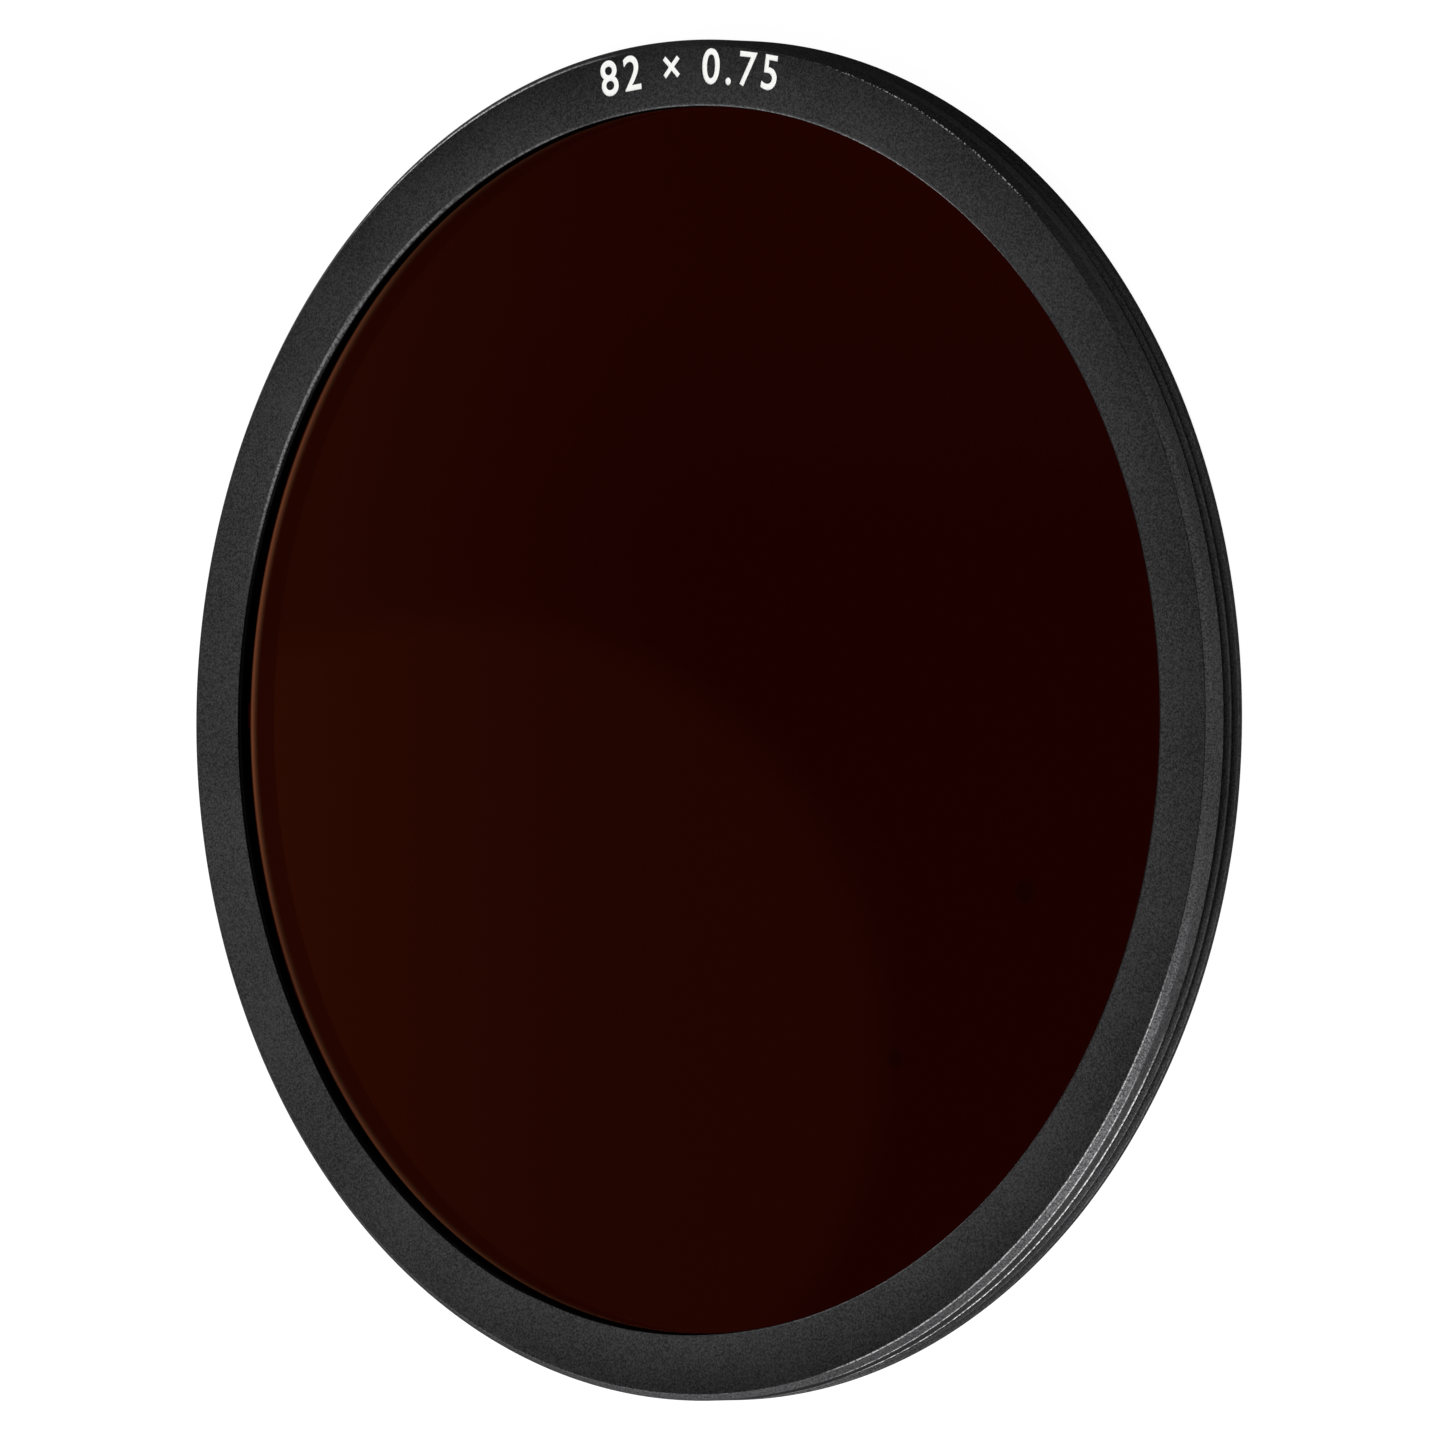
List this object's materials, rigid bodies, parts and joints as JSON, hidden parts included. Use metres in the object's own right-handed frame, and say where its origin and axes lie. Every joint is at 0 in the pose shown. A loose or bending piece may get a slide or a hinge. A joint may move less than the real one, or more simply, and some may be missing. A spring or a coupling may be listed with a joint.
{
  "type": "neutral density filter",
  "caption": "Slim round screw-in neutral density filter: dark glass disc held in a black anodised ring by a rear retaining ring, with a fine outside thread flush with its front rim.",
  "frame": {"origin": "on the filter's axis, in the plane of the rear edge that it lies on", "axes": "+Z along the axis out of the front face, +Y towards the engraved numbers"},
  "size_m": [0.082, 0.082, 0.0032],
  "materials": {
    "black_anodised": "bead-blasted and black anodised",
    "dark_glass": "polished and coated",
    "white_fill": "paint in engraved numbers"
  },
  "bodies": {
    "root": {"filter_ring": "black_anodised", "filter_glass": "dark_glass", "retaining_ring": "black_anodised"}
  },
  "joints": []
}
